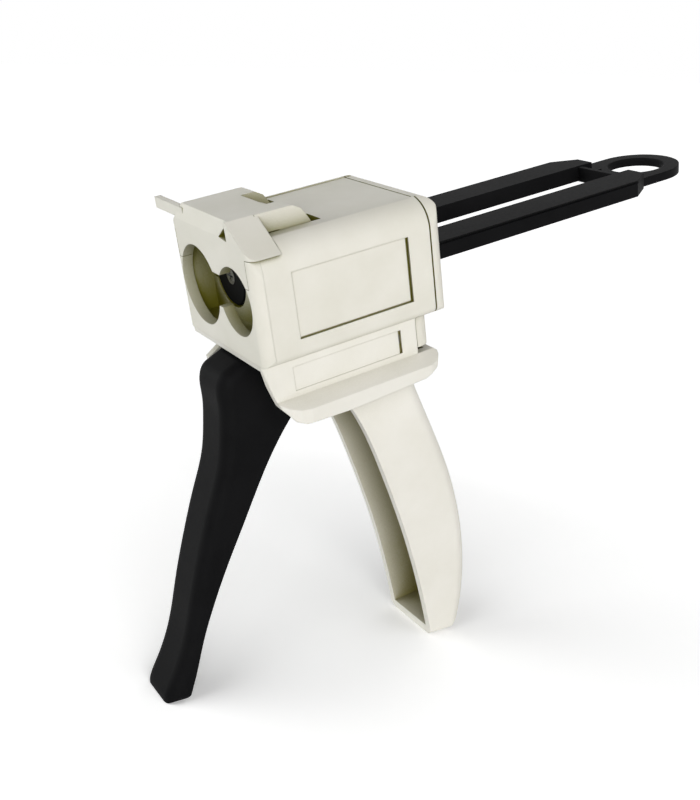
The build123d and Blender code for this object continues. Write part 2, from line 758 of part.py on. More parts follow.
def piston(radius, x, z):
    """Round pusher with a thin lip behind its face and a seat for its screw."""
    disc = bar_y(radius, PISTON_FACE_Y, PISTON_BACK_Y, x, z)
    disc = chamfer(disc.faces().sort_by(Axis.Y)[0].edges(), PISTON_CHAMFER)
    groove_y = (PISTON_FACE_Y + PISTON_BACK_Y) / 2
    groove = bar_y(radius + 1, groove_y, groove_y + PISTON_GROOVE, x, z)
    groove -= bar_y(radius - PISTON_GROOVE, groove_y, groove_y + PISTON_GROOVE, x, z)
    disc -= groove
    disc -= bar_y(PISTON_SCREW_R + SCREW_GAP, PISTON_FACE_Y - 1, PISTON_BACK_Y + 1, x, z)
    seat_y = PISTON_FACE_Y + PISTON_SCREW_HEAD
    return disc - bar_y(PISTON_SCREW_HEAD_R + SCREW_GAP, PISTON_FACE_Y - 1, seat_y, x, z)


def piston_screw(x, z):
    """Cross-head screw that holds a piston on its rod."""
    seat_y = PISTON_FACE_Y + PISTON_SCREW_HEAD
    screw = bar_y(PISTON_SCREW_HEAD_R, PISTON_FACE_Y, seat_y, x, z)
    screw += bar_y(
        PISTON_SCREW_R - SCREW_GAP, seat_y - 0.1, PISTON_FACE_Y + PISTON_SCREW_LENGTH, x, z
    )
    arm = PISTON_SCREW_HEAD_R * CROSS_SHARE
    deep = PISTON_FACE_Y + PISTON_SCREW_HEAD * CROSS_SHARE
    screw -= box(x - arm, x + arm, PISTON_FACE_Y - 1, deep, z - CROSS_SLOT, z + CROSS_SLOT)
    return screw - box(x - CROSS_SLOT, x + CROSS_SLOT, PISTON_FACE_Y - 1, deep, z - arm, z + arm)


def frame_side():
    """Side outline of the lower body with its flange, without the grip."""
    floor = FLANGE_BOTTOM
    return polygon(
        (0, BODY_BOTTOM),
        *FRAME_FRONT,
        (FRAME_REAR / 2, floor - 0.4),
        (FRAME_REAR - 1, floor + 0.6),
        (FLANGE_REAR - 2.6, floor + 2.6),
        (FLANGE_REAR, FLANGE_CREASE - 0.5),
        (FLANGE_REAR - 0.6, FLANGE_CREASE),
        (FRAME_REAR, FLANGE_CREASE),
        (FRAME_REAR, BODY_BOTTOM),
    )


def frame_half_section(inset):
    """Right half of the cross-section of the lower body: upright wall and splayed flange."""
    wall_x = FRAME_HALF_W - inset
    lip_x = FLANGE_HALF_W - inset
    drop = inset * 0.6
    return polygon(
        (0, BODY_BOTTOM),
        (wall_x, BODY_BOTTOM),
        (wall_x, FLANGE_CREASE - drop),
        (lip_x, FLANGE_LIP_TOP - drop),
        (lip_x, FLANGE_BOTTOM - 2),
        (0, FLANGE_BOTTOM - 2),
    )


def frame_plan():
    """Right half of the plan of the lower body, with the flange rounded at both ends."""
    return polygon(
        (0, 0),
        (FRAME_HALF_W - 1.2, 0),
        (FRAME_HALF_W, 1.2),
        (FRAME_HALF_W + 1.0, 3.2),
        (FLANGE_HALF_W - 1.8, 5.4),
        (FLANGE_HALF_W - 0.5, 8.0),
        (FLANGE_HALF_W, 11.0),
        (FLANGE_HALF_W, FLANGE_REAR - FLANGE_CORNER),
        (FLANGE_HALF_W - 0.9, FLANGE_REAR - 2.2),
        (FLANGE_HALF_W - 3.2, FLANGE_REAR),
        (0, FLANGE_REAR),
    )


def smooth_outline(front, rear, foot):
    """Closed side outline between two smooth edges, with straight runs over the foot."""
    front_edge = Spline(*front)
    rear_edge = Spline(*rear)
    base = Polyline(front[-1], *foot, rear[-1])
    return make_face([front_edge, rear_edge, *base.edges(), Line(front[0], rear[0])])


def grip():
    """Hollow handle, open to the front, with a shelf that closes its foot."""
    outline = smooth_outline(GRIP_FRONT, GRIP_REAR, GRIP_FOOT)
    solid = side_slab(outline, -GRIP_HALF_W, GRIP_HALF_W)
    rear_edges = solid.edges().filter_by(GeomType.BSPLINE).group_by(Axis.Y)[-1]
    solid = fillet(rear_edges, GRIP_EDGE_R) & rounded_foot_room(GRIP_HALF_W, GRIP_FOOT_R)
    inner = GRIP_HALF_W - GRIP_WALL
    hollow = Pos(0, -GRIP_WALL, 0) * side_slab(outline, -inner, inner)
    front_room = Pos(0, -2 * GRIP_WALL, 0) * side_slab(outline, -inner, inner)
    hollow += front_room
    shelf = floor_z(FOOT_Y) + GRIP_SHELF
    hollow &= box(-inner, inner, -FAR, FAR, shelf, FLANGE_BOTTOM)
    return solid - hollow


def handle_frame():
    """Lower body, its flange and the grip, moulded as one piece."""
    side = frame_side()
    outer = both_sides(front_slab(frame_half_section(0), -1, FLANGE_REAR + 1))
    outer &= side_slab(side, -FAR, FAR)
    outer &= both_sides(plan_slab(frame_plan(), -FAR, FAR))
    inner = both_sides(front_slab(frame_half_section(FRAME_WALL), -2, FAR))
    floor_top = FLANGE_BOTTOM + FLANGE_FLOOR
    inner &= box(-FAR, FAR, -FAR, FAR, -FAR, BODY_BOTTOM - FRAME_ROOF)
    cabin = box(-FAR, FAR, -2, FLANGE_REAR - FRAME_WALL, floor_top, 0)
    cabin += box(-FAR, FAR, -2, FLOOR_FRONT, -FAR, 0)
    frame = outer - (inner & cabin)
    frame -= mechanism_mouth(BODY_BOTTOM - FRAME_ROOF - 1, BODY_BOTTOM + 1)
    frame -= box(-FAR, FAR, FRAME_REAR, FAR, FLANGE_CREASE, 0)
    frame += grip()
    frame -= panel_cutter(
        FRAME_HALF_W,
        LOWER_PANEL_Y0,
        LOWER_PANEL_Y1,
        LOWER_PANEL_Z0,
        LOWER_PANEL_Z1,
        LOWER_PANEL_DEPTH,
        LOWER_GROOVE_DEPTH,
        LOWER_PANEL_DEPTH,
    )
    far_cut = polygon(
        (-1, BODY_BOTTOM - FRAME_ROOF),
        (FAR_WALL_CUT_Y[0], BODY_BOTTOM - FRAME_ROOF),
        (FAR_WALL_CUT_Y[1], FAR_WALL_CUT_Z[0]),
        (FRAME_FRONT[1][0], FAR_WALL_CUT_Z[1]),
        (-1, FAR_WALL_CUT_Z[1]),
    )
    frame -= side_slab(far_cut, -FAR, -FRAME_HALF_W + FRAME_WALL + RUN_GAP)
    seat = FRAME_HALF_W - FRAME_WALL + PIN_SEAT
    frame -= cross_pin(TRIGGER_PIN_R, TRIGGER_PIN_Y, TRIGGER_PIN_Z, seat)
    frame -= cross_pin(RELEASE_PIN_R, RELEASE_PIN_Y, RELEASE_PIN_Z, seat)
    frame -= join_screw_holes(
        JOIN_SCREW_R + SCREW_GAP, BODY_BOTTOM - FRAME_ROOF - 1, BODY_BOTTOM + 1
    )
    return frame & above_floor()


def housing_screws():
    """Four screws from below that join the lower body and the housing."""
    seat = BODY_BOTTOM - FRAME_ROOF
    shank = join_screw_holes(JOIN_SCREW_R - SCREW_GAP, seat - 0.1, seat + JOIN_SCREW_LENGTH)
    return shank + join_screw_holes(JOIN_SCREW_HEAD_R, seat - JOIN_SCREW_HEAD, seat)


def trigger():
    """Long trigger with a hollow back, a pivot boss and two arms that carry the drive pawl."""
    outline = make_face(
        [
            Spline(*TRIGGER_FRONT),
            Spline(*TRIGGER_REAR),
            *Polyline(TRIGGER_FRONT[-1], *TRIGGER_FOOT, TRIGGER_REAR[-1]).edges(),
            *Polyline(TRIGGER_FRONT[0], *TRIGGER_CROWN, TRIGGER_REAR[0]).edges(),
        ]
    )
    blade = side_slab(outline, -TRIGGER_HALF_W, TRIGGER_HALF_W)
    splines = blade.edges().filter_by(GeomType.BSPLINE).sort_by(Axis.Y)
    blade = fillet(splines[:2], TRIGGER_EDGE_R)
    inner = ARM_INNER + RUN_GAP
    hollow = Pos(0, TRIGGER_WALL, 0) * side_slab(outline, -inner, inner)
    hollow &= box(-inner, inner, -FAR, FAR, TRIGGER_SHELF_Z, TRIGGER_ROOF_Z)
    rib = side_slab(outline, -RIB_HALF, RIB_HALF) & box(
        -FAR, FAR, -FAR, FAR, TRIGGER_SHELF_Z, TRIGGER_ROOF_Z
    )
    hollow -= Pos(0, -TRIGGER_WALL, 0) * rib
    blade -= hollow
    blade += bar_x(TRIGGER_BOSS_R, -TRIGGER_HALF_W, TRIGGER_HALF_W, TRIGGER_PIN_Y, TRIGGER_PIN_Z)
    reach = (ARM_TOP_Y - TRIGGER_PIN_Y, ARM_TOP_Z - TRIGGER_PIN_Z)
    length = sqrt(reach[0] ** 2 + reach[1] ** 2)
    side = (-reach[1] / length, reach[0] / length)
    arm = polygon(
        (TRIGGER_PIN_Y + side[0] * ARM_ROOT, TRIGGER_PIN_Z + side[1] * ARM_ROOT),
        (TRIGGER_PIN_Y - side[0] * ARM_ROOT, TRIGGER_PIN_Z - side[1] * ARM_ROOT),
        (ARM_TOP_Y - side[0] * ARM_BOSS_R, ARM_TOP_Z - side[1] * ARM_BOSS_R),
        (ARM_TOP_Y + side[0] * ARM_BOSS_R, ARM_TOP_Z + side[1] * ARM_BOSS_R),
    )
    arms = side_slab(arm, ARM_INNER, TRIGGER_HALF_W)
    arms += bar_x(ARM_BOSS_R, ARM_INNER, TRIGGER_HALF_W, ARM_TOP_Y, ARM_TOP_Z)
    blade += both_sides(arms)
    bush_hole = TRIGGER_PIN_R + PIN_GAP + BUSH_WALL
    blade -= bar_x(bush_hole, -FAR, FAR, TRIGGER_PIN_Y, TRIGGER_PIN_Z)
    blade -= bar_x(PAWL_PIN_R, -FAR, FAR, ARM_TOP_Y, ARM_TOP_Z)
    blade -= box(
        -LEAF_WIDTH / 2,
        LEAF_WIDTH / 2,
        LEAF_Y0,
        LEAF_Y0 + LEAF_THICK,
        LEAF_Z0 - LEAF_THICK,
        LEAF_Z1,
    )
    return blade & above_floor() & rounded_foot_room(TRIGGER_HALF_W, TRIGGER_FOOT_R)


def trigger_bushes():
    """Two flanged bushes pressed into the trigger boss."""
    outer = TRIGGER_PIN_R + PIN_GAP + BUSH_WALL
    bush = bar_x(outer, TRIGGER_HALF_W - BUSH_LENGTH, TRIGGER_HALF_W, TRIGGER_PIN_Y, TRIGGER_PIN_Z)
    flange_r = outer + BUSH_FLANGE
    bush += bar_x(
        flange_r, TRIGGER_HALF_W, TRIGGER_HALF_W + BUSH_FLANGE, TRIGGER_PIN_Y, TRIGGER_PIN_Z
    )
    bush -= bar_x(TRIGGER_PIN_R + PIN_GAP, -FAR, FAR, TRIGGER_PIN_Y, TRIGGER_PIN_Z)
    return both_sides(bush)


def pawl_pin_clips():
    """Retaining washers on the two ends of the drive pawl pin."""
    clip = bar_x(CLIP_R, CLIP_X, CLIP_X + CLIP_THICK, ARM_TOP_Y, ARM_TOP_Z)
    clip -= bar_x(PAWL_PIN_R, 0, FAR, ARM_TOP_Y, ARM_TOP_Z)
    return both_sides(clip)


def pawl_side(pin_y, pin_z, hub_r, tip_y, tip_z):
    """Side outline of a pawl from its hub up to its tip."""
    along = (tip_y - pin_y, tip_z - pin_z)
    length = sqrt(along[0] ** 2 + along[1] ** 2)
    side = (-along[1] / length, along[0] / length)
    return polygon(
        (pin_y + side[0] * hub_r, pin_z + side[1] * hub_r),
        (tip_y - TIP_LENGTH, tip_z - PAWL_BAR),
        (tip_y - TIP_LENGTH / 2, tip_z),
        (tip_y, tip_z),
        (tip_y + TIP_LENGTH / 3, tip_z - PAWL_BAR),
        (pin_y - side[0] * hub_r, pin_z - side[1] * hub_r),
    )


def pawl(pin_y, pin_z, pin_r, hub_r, half_w, tip_y, tip_z):
    """Toothed pawl: a narrow arm on its pin and a wide tip under both rods."""
    outline = pawl_side(pin_y, pin_z, hub_r, tip_y, tip_z)
    wide = side_slab(outline, -PAWL_TIP_HALF_W, PAWL_TIP_HALF_W)
    wide &= box(-FAR, FAR, -FAR, FAR, tip_z - PAWL_BAR + RUN_GAP, FAR)
    body = wide + side_slab(outline, -half_w, half_w)
    body += bar_x(hub_r, -half_w, half_w, pin_y, pin_z)
    middle = ROD_INNER + TOOTH_RIM + SIDE_GAP
    body -= box(-middle, middle, tip_y - PAWL_BAR, tip_y + PAWL_BAR, tip_z - TOOTH_DEPTH, FAR)
    return body - bar_x(pin_r + PIN_GAP, -FAR, FAR, pin_y, pin_z)


def drive_pawl():
    """Pawl on the trigger arms that pushes the rods forward."""
    half_w = ARM_INNER - SIDE_GAP
    return pawl(ARM_TOP_Y, ARM_TOP_Z, PAWL_PIN_R, PAWL_HUB_R, half_w, DRIVE_TIP_Y, DRIVE_TIP_Z)


def holding_pawl():
    """Pawl that keeps the rods from slipping back, with the leg that the release moves."""
    body = pawl(HOLD_PIN_Y, HOLD_PIN_Z, HOLD_PIN_R, HOLD_HUB_R, HOLD_HALF_W, HOLD_TIP_Y, HOLD_TIP_Z)
    leg = box(
        -HOLD_HALF_W,
        HOLD_HALF_W,
        HOLD_LEG_Y,
        HOLD_LEG_Y + LEG_THICK,
        HOLD_PIN_Z - HOLD_LEG,
        HOLD_PIN_Z,
    )
    leg -= bar_x(HOLD_PIN_R + PIN_GAP, -FAR, FAR, HOLD_PIN_Y, HOLD_PIN_Z)
    return body + leg


def release_lever():
    """Rear lever: a hollow plate under the rear cap, an arm to its pin and a finger."""
    half_w = FRAME_HALF_W - RELEASE_TOP_GAP
    top = BODY_BOTTOM - RELEASE_TOP_GAP
    low = FLANGE_CREASE + RELEASE_DROP_GAP
    front = FRAME_REAR + RELEASE_GAP
    plan = Pos(0, (front + RELEASE_REAR) / 2) * Rectangle(2 * half_w, RELEASE_REAR - front)
    plan = fillet(plan.vertices().group_by(Axis.Y)[-1], RELEASE_REAR - front - 1.2)
    plate = plan_slab(plan, low, top)
    inner = half_w - RELEASE_PLATE
    plate -= box(-inner, inner, 0, RELEASE_REAR - RELEASE_PLATE, low + 1.6, top - 1.6)
    ledge = box(
        -LEDGE_HALF_W,
        LEDGE_HALF_W,
        RELEASE_REAR - 1,
        RELEASE_REAR + THUMB_LEDGE,
        top - LEDGE_THICK,
        top,
    )
    ledge = fillet(ledge.edges().filter_by(Axis.X).group_by(Axis.Y)[-1], LEDGE_THICK * 0.4)
    arm_z0 = RELEASE_PIN_Z - RELEASE_HUB_R
    arm_z1 = BODY_BOTTOM - FRAME_ROOF - RELEASE_DROP_GAP
    arm = box(-RELEASE_ARM_HALF, RELEASE_ARM_HALF, RELEASE_PIN_Y, RELEASE_REAR - 1, arm_z0, arm_z1)
    arm += bar_x(RELEASE_HUB_R, -RELEASE_ARM_HALF, RELEASE_ARM_HALF, RELEASE_PIN_Y, RELEASE_PIN_Z)
    finger = polygon(
        (RELEASE_PIN_Y - RELEASE_HUB_R, RELEASE_PIN_Z),
        (FINGER_Y0, RELEASE_FINGER_Z),
        (FINGER_Y1, RELEASE_FINGER_Z),
        (FINGER_Y1, HOLD_PIN_Z - HOLD_LEG - LEG_THICK),
        (RELEASE_PIN_Y + 1, RELEASE_PIN_Z + RELEASE_HUB_R - 0.4),
        (RELEASE_PIN_Y, RELEASE_PIN_Z),
    )
    lever = plate + ledge + arm + side_slab(finger, -FINGER_HALF_W, FINGER_HALF_W)
    return lever - bar_x(RELEASE_PIN_R + PIN_GAP, -FAR, FAR, RELEASE_PIN_Y, RELEASE_PIN_Z)


def leaf(points, half_w):
    """Flat spring that follows a run of points in the side view."""
    path = Polyline(*points)
    strip = offset(path, amount=LEAF_THICK / 2, side=Side.BOTH)
    return side_slab(make_face(strip.edges()), -half_w, half_w)


def drive_pawl_spring():
    """Leaf in the trigger boss that lifts the drive pawl."""
    y0 = LEAF_Y0 + LEAF_THICK / 2
    points = (y0, LEAF_Z0), (y0, LEAF_Z1 + LEAF_BEND), (DRIVE_LEAF_Y, DRIVE_LEAF_Z)
    return leaf(points, LEAF_WIDTH / 2 - SCREW_GAP)


def holding_pawl_spring():
    """Leaf against the rear cap that presses on the tail of the holding pawl."""
    y1 = BODY_LENGTH - LEAF_THICK / 2
    points = (y1, HOLD_LEAF_Z - HOLD_LEAF_DROP), (y1, HOLD_LEAF_Z + HOLD_LEAF_RISE), (
        HOLD_LEAF_Y, HOLD_LEAF_Z
    )
    return leaf(points, LEAF_WIDTH / 2)


def spring_path():
    """Centre line of the trigger return spring, from one leg to the other."""
    steps = SPRING_TURNS * STEPS_PER_TURN + STEPS_PER_TURN // 4
    rise = SPRING_PITCH / STEPS_PER_TURN
    points = []
    tangents = []
    for step in range(steps + 1):
        angle = 2 * pi * step / STEPS_PER_TURN
        points.append(
            Vector(
                SPRING_X + rise * step,
                TRIGGER_PIN_Y + SPRING_COIL_R * cos(angle),
                TRIGGER_PIN_Z + SPRING_COIL_R * sin(angle),
            )
        )
        run = 2 * pi * SPRING_COIL_R
        tangents.append(
            Vector(SPRING_PITCH, -run * sin(angle), run * cos(angle)).normalized()
        )
    edges = [Line(points[0] - tangents[0] * SPRING_LEG_IN, points[0])]
    for index in range(steps):
        edges += biarc(points[index], tangents[index], points[index + 1], tangents[index + 1])
    edges.append(Line(points[-1], points[-1] + tangents[-1] * SPRING_LEG_OUT))
    return Wire(edges)


def torsion_spring():
    """Coiled wire beside the trigger boss, with one leg under the roof and one behind the boss."""
    path = spring_path()
    section = Plane(origin=path @ 0, z_dir=path % 0) * Circle(WIRE_R)
    return sweep(section, path=path)


def least_turn_gap():
    """Smallest distance between two turns of the spring, measured on points of its line."""
    path = spring_path()
    points = [path @ (index / GAP_SAMPLES) for index in range(GAP_SAMPLES + 1)]
    apart = round(GAP_SAMPLES * pi * SPRING_COIL_R / path.length)
    distances = [
        (first - other).length
        for index, first in enumerate(points)
        for other in points[index + apart:]
    ]
    return min(distances) - 2 * WIRE_R


def biarc(start, start_tangent, end, end_tangent):
    """Two arcs that join two points with given tangents."""
    v = end - start
    t = start_tangent + end_tangent
    share = 2 * (1 - start_tangent.dot(end_tangent))
    root = sqrt(v.dot(t) ** 2 + share * v.dot(v))
    d = (root - v.dot(t)) / share
    joint = (start + start_tangent * d + end - end_tangent * d) * 0.5
    first = TangentArc(start, joint, tangent=start_tangent)
    last = TangentArc(end, joint, tangent=end_tangent * -1)
    return [first, Edge.make_three_point_arc(joint, last @ 0.5, end)]


def stance(shape):
    """Tip the level gun nose down and put the middle of the grip foot at the origin."""
    tipped = Rot(STAND_PITCH, 0, 0) * (Pos(0, -FOOT_Y, -FOOT_Z) * shape)
    return tipped


wall_seat = FRAME_HALF_W - FRAME_WALL + PIN_SEAT
shell = housing_shell()
plate_room = box(-FAR, FAR, -1, FRONT_PLATE, -FAR, FAR)
pieces = {
    "front_plate": shell & plate_room,
    "cartridge_housing": shell - plate_room,
    "rear_cap": rear_cap(),
    "rear_cap_screws": rear_cap_screws(),
    "handle_frame": handle_frame(),
    "housing_screws": housing_screws(),
    "cartridge_lid": cartridge_lid(),
    "lid_hinge_pin": hinge_pin(),
    "plunger_rods": plunger_rods(),
    "large_piston": piston(PISTON_R_BIG, BORE_X_BIG, 0),
    "small_piston": piston(PISTON_R_SMALL, BORE_X_SMALL, BORE_Z_SMALL),
    "piston_screws": piston_screw(BORE_X_BIG, 0) + piston_screw(BORE_X_SMALL, BORE_Z_SMALL),
    "trigger": trigger(),
    "trigger_bushes": trigger_bushes(),
    "trigger_pin": cross_pin(TRIGGER_PIN_R, TRIGGER_PIN_Y, TRIGGER_PIN_Z, wall_seat),
    "trigger_return_spring": torsion_spring(),
    "drive_pawl": drive_pawl(),
    "drive_pawl_pin": cross_pin(PAWL_PIN_R, ARM_TOP_Y, ARM_TOP_Z, CLIP_X + CLIP_THICK + 0.5),
    "pawl_pin_clips": pawl_pin_clips(),
    "drive_pawl_spring": drive_pawl_spring(),
    "holding_pawl": holding_pawl(),
    "holding_pawl_pin": cross_pin(
        HOLD_PIN_R, HOLD_PIN_Y, HOLD_PIN_Z, BODY_HALF_W - BODY_WALL + PIN_SEAT
    ),
    "holding_pawl_spring": holding_pawl_spring(),
    "release_lever": release_lever(),
    "release_lever_pin": cross_pin(RELEASE_PIN_R, RELEASE_PIN_Y, RELEASE_PIN_Z, wall_seat),
}
os.makedirs("parts", exist_ok=True)
for name, shape in pieces.items():
    standing = stance(shape)
    export_step(standing, f"parts/{name}.step")
    size = standing.bounding_box()
    print(
        name,
        round(standing.volume, 1),
        standing.is_valid,
        len(standing.solids()),
        size.min,
        size.max,
    )
print("least gap between spring turns", round(least_turn_gap(), 2))
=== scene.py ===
"""Looks of a hand gun that dispenses two-part impression material from a twin cartridge.

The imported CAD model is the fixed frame, and all its pieces stay as they are. This script
dresses them with procedural materials, and sets up a studio with a pale floor, soft light
and a camera at the photograph's viewing angle.
"""

import logging
import math
from dataclasses import dataclass, field, replace
from enum import Enum
from typing import Any

import bpy
from mathutils import Matrix, Vector

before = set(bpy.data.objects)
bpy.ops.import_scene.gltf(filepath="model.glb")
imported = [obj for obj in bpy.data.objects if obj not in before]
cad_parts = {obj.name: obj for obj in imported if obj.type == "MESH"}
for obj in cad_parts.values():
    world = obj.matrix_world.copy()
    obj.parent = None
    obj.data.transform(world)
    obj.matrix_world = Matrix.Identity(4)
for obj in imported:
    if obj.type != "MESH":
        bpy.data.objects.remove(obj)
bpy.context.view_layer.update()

logging.basicConfig(level=logging.INFO, format="%(message)s")
LOG = logging.getLogger("dispensing_gun")

MM = 0.001
WHITE = (1.0, 1.0, 1.0, 1.0)


def linear(hex_colour: str) -> tuple[float, float, float, float]:
    """Turn an sRGB hex colour into linear light.

    Args:
        hex_colour: Six hex digits, such as "ece9de".

    Returns:
        Red, green, blue and an alpha of 1, in linear light.
    """
    channels = [int(hex_colour[i : i + 2], 16) / 255 for i in (0, 2, 4)]
    red, green, blue = (
        c / 12.92 if c <= 0.04045 else ((c + 0.055) / 1.055) ** 2.4 for c in channels
    )
    return red, green, blue, 1.0


def add_node(
    tree: bpy.types.NodeTree,
    kind: str,
    inputs: dict[str | int, Any] | None = None,
    **settings: Any,
) -> bpy.types.Node:
    """Add a shader node with its settings, values and links.

    Args:
        tree: Node tree that gets the node.
        kind: Type name of the node.
        inputs: Socket name or index to a value, or to an output socket to link.
        settings: Properties of the node itself.

    Returns:
        The new node.
    """
    node = tree.nodes.new(kind)
    for name, value in settings.items():
        setattr(node, name, value)
    for key, value in (inputs or {}).items():
        if isinstance(value, bpy.types.NodeSocket):
            tree.links.new(value, node.inputs[key])
        else:
            node.inputs[key].default_value = value
    return node


def new_material(name: str) -> tuple[bpy.types.Material, bpy.types.NodeTree]:
    """Make an empty material with a node tree.

    Args:
        name: Name of the material.

    Returns:
        The material and its cleared tree.
    """
    material = bpy.data.materials.new(name)
    material.use_nodes = True
    material.node_tree.nodes.clear()
    return material, material.node_tree


def seen_directly(tree: bpy.types.NodeTree) -> bpy.types.NodeSocket:
    """Tell rays that show the background from rays that light the object.

    Args:
        tree: Node tree of the floor or of the world.

    Returns:
        A socket that is 1 for the camera's rays and for mirrored and see-through ones.
    """
    path = add_node(tree, "ShaderNodeLightPath")
    mirrored = add_node(
        tree,
        "ShaderNodeMath",
        {0: path.outputs["Is Camera Ray"], 1: path.outputs["Is Glossy Ray"]},
        operation="MAXIMUM",
    )
    shown = add_node(
        tree,
        "ShaderNodeMath",
        {0: mirrored.outputs[0], 1: path.outputs["Is Transmission Ray"]},
        operation="MAXIMUM",
    )
    return shown.outputs[0]


def scale_for(size_mm: float) -> float:
    """Noise scale whose features have a given size in millimetres."""
    return 1.0 / (size_mm * MM)


class Texture(Enum):
    """How the mould wall was finished, which sets the grain of the plastic."""

    SPARK_ERODED = "spark_eroded"
    POLISHED = "polished"


class Axis(Enum):
    """Direction on the gun, as the place of its part in a vector."""

    ACROSS = 0
    REARWARDS = 1
    UP = 2


@dataclass(frozen=True)
class MouldedPlastic:
    """Injection-moulded plastic with mould grain, faint flow clouds and specks.

    The grain of a spark-eroded mould is about 0.1 mm; it is drawn at 0.45 mm, as fine as
    the render can hold, and gives the surface its broad, soft highlight. Hollows and seams
    get painted shade where a shade colour is given: that colour is multiplied in to stand
    for the shade that falls in them. The painted shade starts where the surface sees less
    than recess_painted_shade_open of its surroundings, and is full at recess_painted_shade_full.
    """

    name: str
    light: str
    shade: str
    roughness: float
    roughness_spread: float
    ior: float = 1.54
    shine: float = 0.5
    grain_mm: float = 0.45
    grain_height_mm: float = 0.012
    cloud_mm: float = 16.0
    cloud_from: float = 0.35
    cloud_to: float = 0.75
    speck_mm: float = 1.4
    speck_strength: float = 0.12
    edge_mm: float = 0.45
    edge_rays: int = 4
    # painted shade: a colour multiplied into hollows and seams, standing in for the shade there
    recess_painted_shade: str | None = None
    recess_painted_shade_mm: float = 30.0
    recess_painted_shade_open: float = 0.85
    recess_painted_shade_full: float = 0.3
    recess_painted_shade_own: bool = False
    recess_painted_shade_rays: int = 8
    texture: Texture = Texture.SPARK_ERODED

    def mottled(
        self,
        tree: bpy.types.NodeTree,
        place: bpy.types.NodeSocket,
        specks: bpy.types.NodeSocket,
    ) -> bpy.types.NodeSocket:
        """Mix the two shades by flow clouds and specks.

        Args:
            tree: Node tree of the material.
            place: Place on the piece.
            specks: Pattern of the specks.

        Returns:
            The colour.
        """
        cloud = add_node(
            tree,
            "ShaderNodeTexNoise",
            {"Vector": place, "Scale": scale_for(self.cloud_mm), "Detail": 3.0, "Roughness": 0.5},
        )
        tone = add_node(
            tree,
            "ShaderNodeMath",
            {0: specks, 1: self.speck_strength, 2: cloud.outputs["Fac"]},
            operation="MULTIPLY_ADD",
        )
        spread = add_node(
            tree,
            "ShaderNodeMapRange",
            {"Value": tone.outputs[0], "From Min": self.cloud_from, "From Max": self.cloud_to},
        )
        colour = add_node(
            tree,
            "ShaderNodeMix",
            {"Factor": spread.outputs[0], 6: linear(self.shade), 7: linear(self.light)},
            data_type="RGBA",
        )
        return colour.outputs[2]

    def with_painted_shade(
        self, tree: bpy.types.NodeTree, colour: bpy.types.NodeSocket
    ) -> bpy.types.NodeSocket:
        """Paint shade into the colour in hollows and seams.

        Args:
            tree: Node tree of the material.
            colour: Colour of the open surface.

        Returns:
            The colour with its painted shade, or as it came where the finish has none.
        """
        if self.recess_painted_shade is None:
            return colour
        painted_shade_openness = add_node(
            tree,
            "ShaderNodeAmbientOcclusion",
            {"Distance": self.recess_painted_shade_mm * MM},
            samples=self.recess_painted_shade_rays,
            only_local=self.recess_painted_shade_own,
        )
        painted_shade_depth = add_node(
            tree,
            "ShaderNodeMapRange",
            {
                "Value": painted_shade_openness.outputs["AO"],
                "From Min": self.recess_painted_shade_full,
                "From Max": self.recess_painted_shade_open,
                "To Min": 1.0,
                "To Max": 0.0,
            },
        )
        mixed = add_node(
            tree,
            "ShaderNodeMix",
            {"Factor": painted_shade_depth.outputs[0], 6: colour, 7: linear(self.recess_painted_shade)},
            data_type="RGBA",
            blend_type="MULTIPLY",
        )
        return mixed.outputs[2]

    def relief(
        self, tree: bpy.types.NodeTree, place: bpy.types.NodeSocket
    ) -> bpy.types.NodeSocket:
        """Soften the edges and raise the mould's grain.

        Args:
            tree: Node tree of the material.
            place: Place on the piece.

        Returns:
            The surface's direction.
        """
        rounded = add_node(
            tree, "ShaderNodeBevel", {"Radius": self.edge_mm * MM}, samples=self.edge_rays
        )
        grain_height = self.grain_height_mm if self.texture is Texture.SPARK_ERODED else 0.0
        grain = add_node(
            tree,
            "ShaderNodeTexNoise",
            {"Vector": place, "Scale": scale_for(self.grain_mm), "Detail": 2.0, "Roughness": 0.55},
        )
        bump = add_node(
            tree,
            "ShaderNodeBump",
            {
                "Strength": 1.0,
                "Distance": grain_height * MM,
                "Height": grain.outputs["Fac"],
                "Normal": rounded.outputs["Normal"],
            },
        )
        return bump.outputs["Normal"]

    def build(self) -> bpy.types.Material:
        """Make the material.

        Returns:
            The finished material.
        """
        material, tree = new_material(self.name)
        place = add_node(tree, "ShaderNodeTexCoord").outputs["Object"]
        speck = add_node(
            tree,
            "ShaderNodeTexNoise",
            {"Vector": place, "Scale": scale_for(self.speck_mm), "Detail": 2.0, "Roughness": 0.6},
        )
        roughness = add_node(
            tree,
            "ShaderNodeMapRange",
            {
                "Value": speck.outputs["Fac"],
                "To Min": self.roughness - self.roughness_spread,
                "To Max": self.roughness + self.roughness_spread,
            },
        )
        colour = self.mottled(tree, place, speck.outputs["Fac"])
        shader = add_node(
            tree,
            "ShaderNodeBsdfPrincipled",
            {
                "Base Color": self.with_painted_shade(tree, colour),
                "Roughness": roughness.outputs[0],
                "IOR": self.ior,
                "Specular IOR Level": self.shine,
                "Normal": self.relief(tree, place),
            },
        )
        add_node(tree, "ShaderNodeOutputMaterial", {"Surface": shader.outputs[0]})
        return material


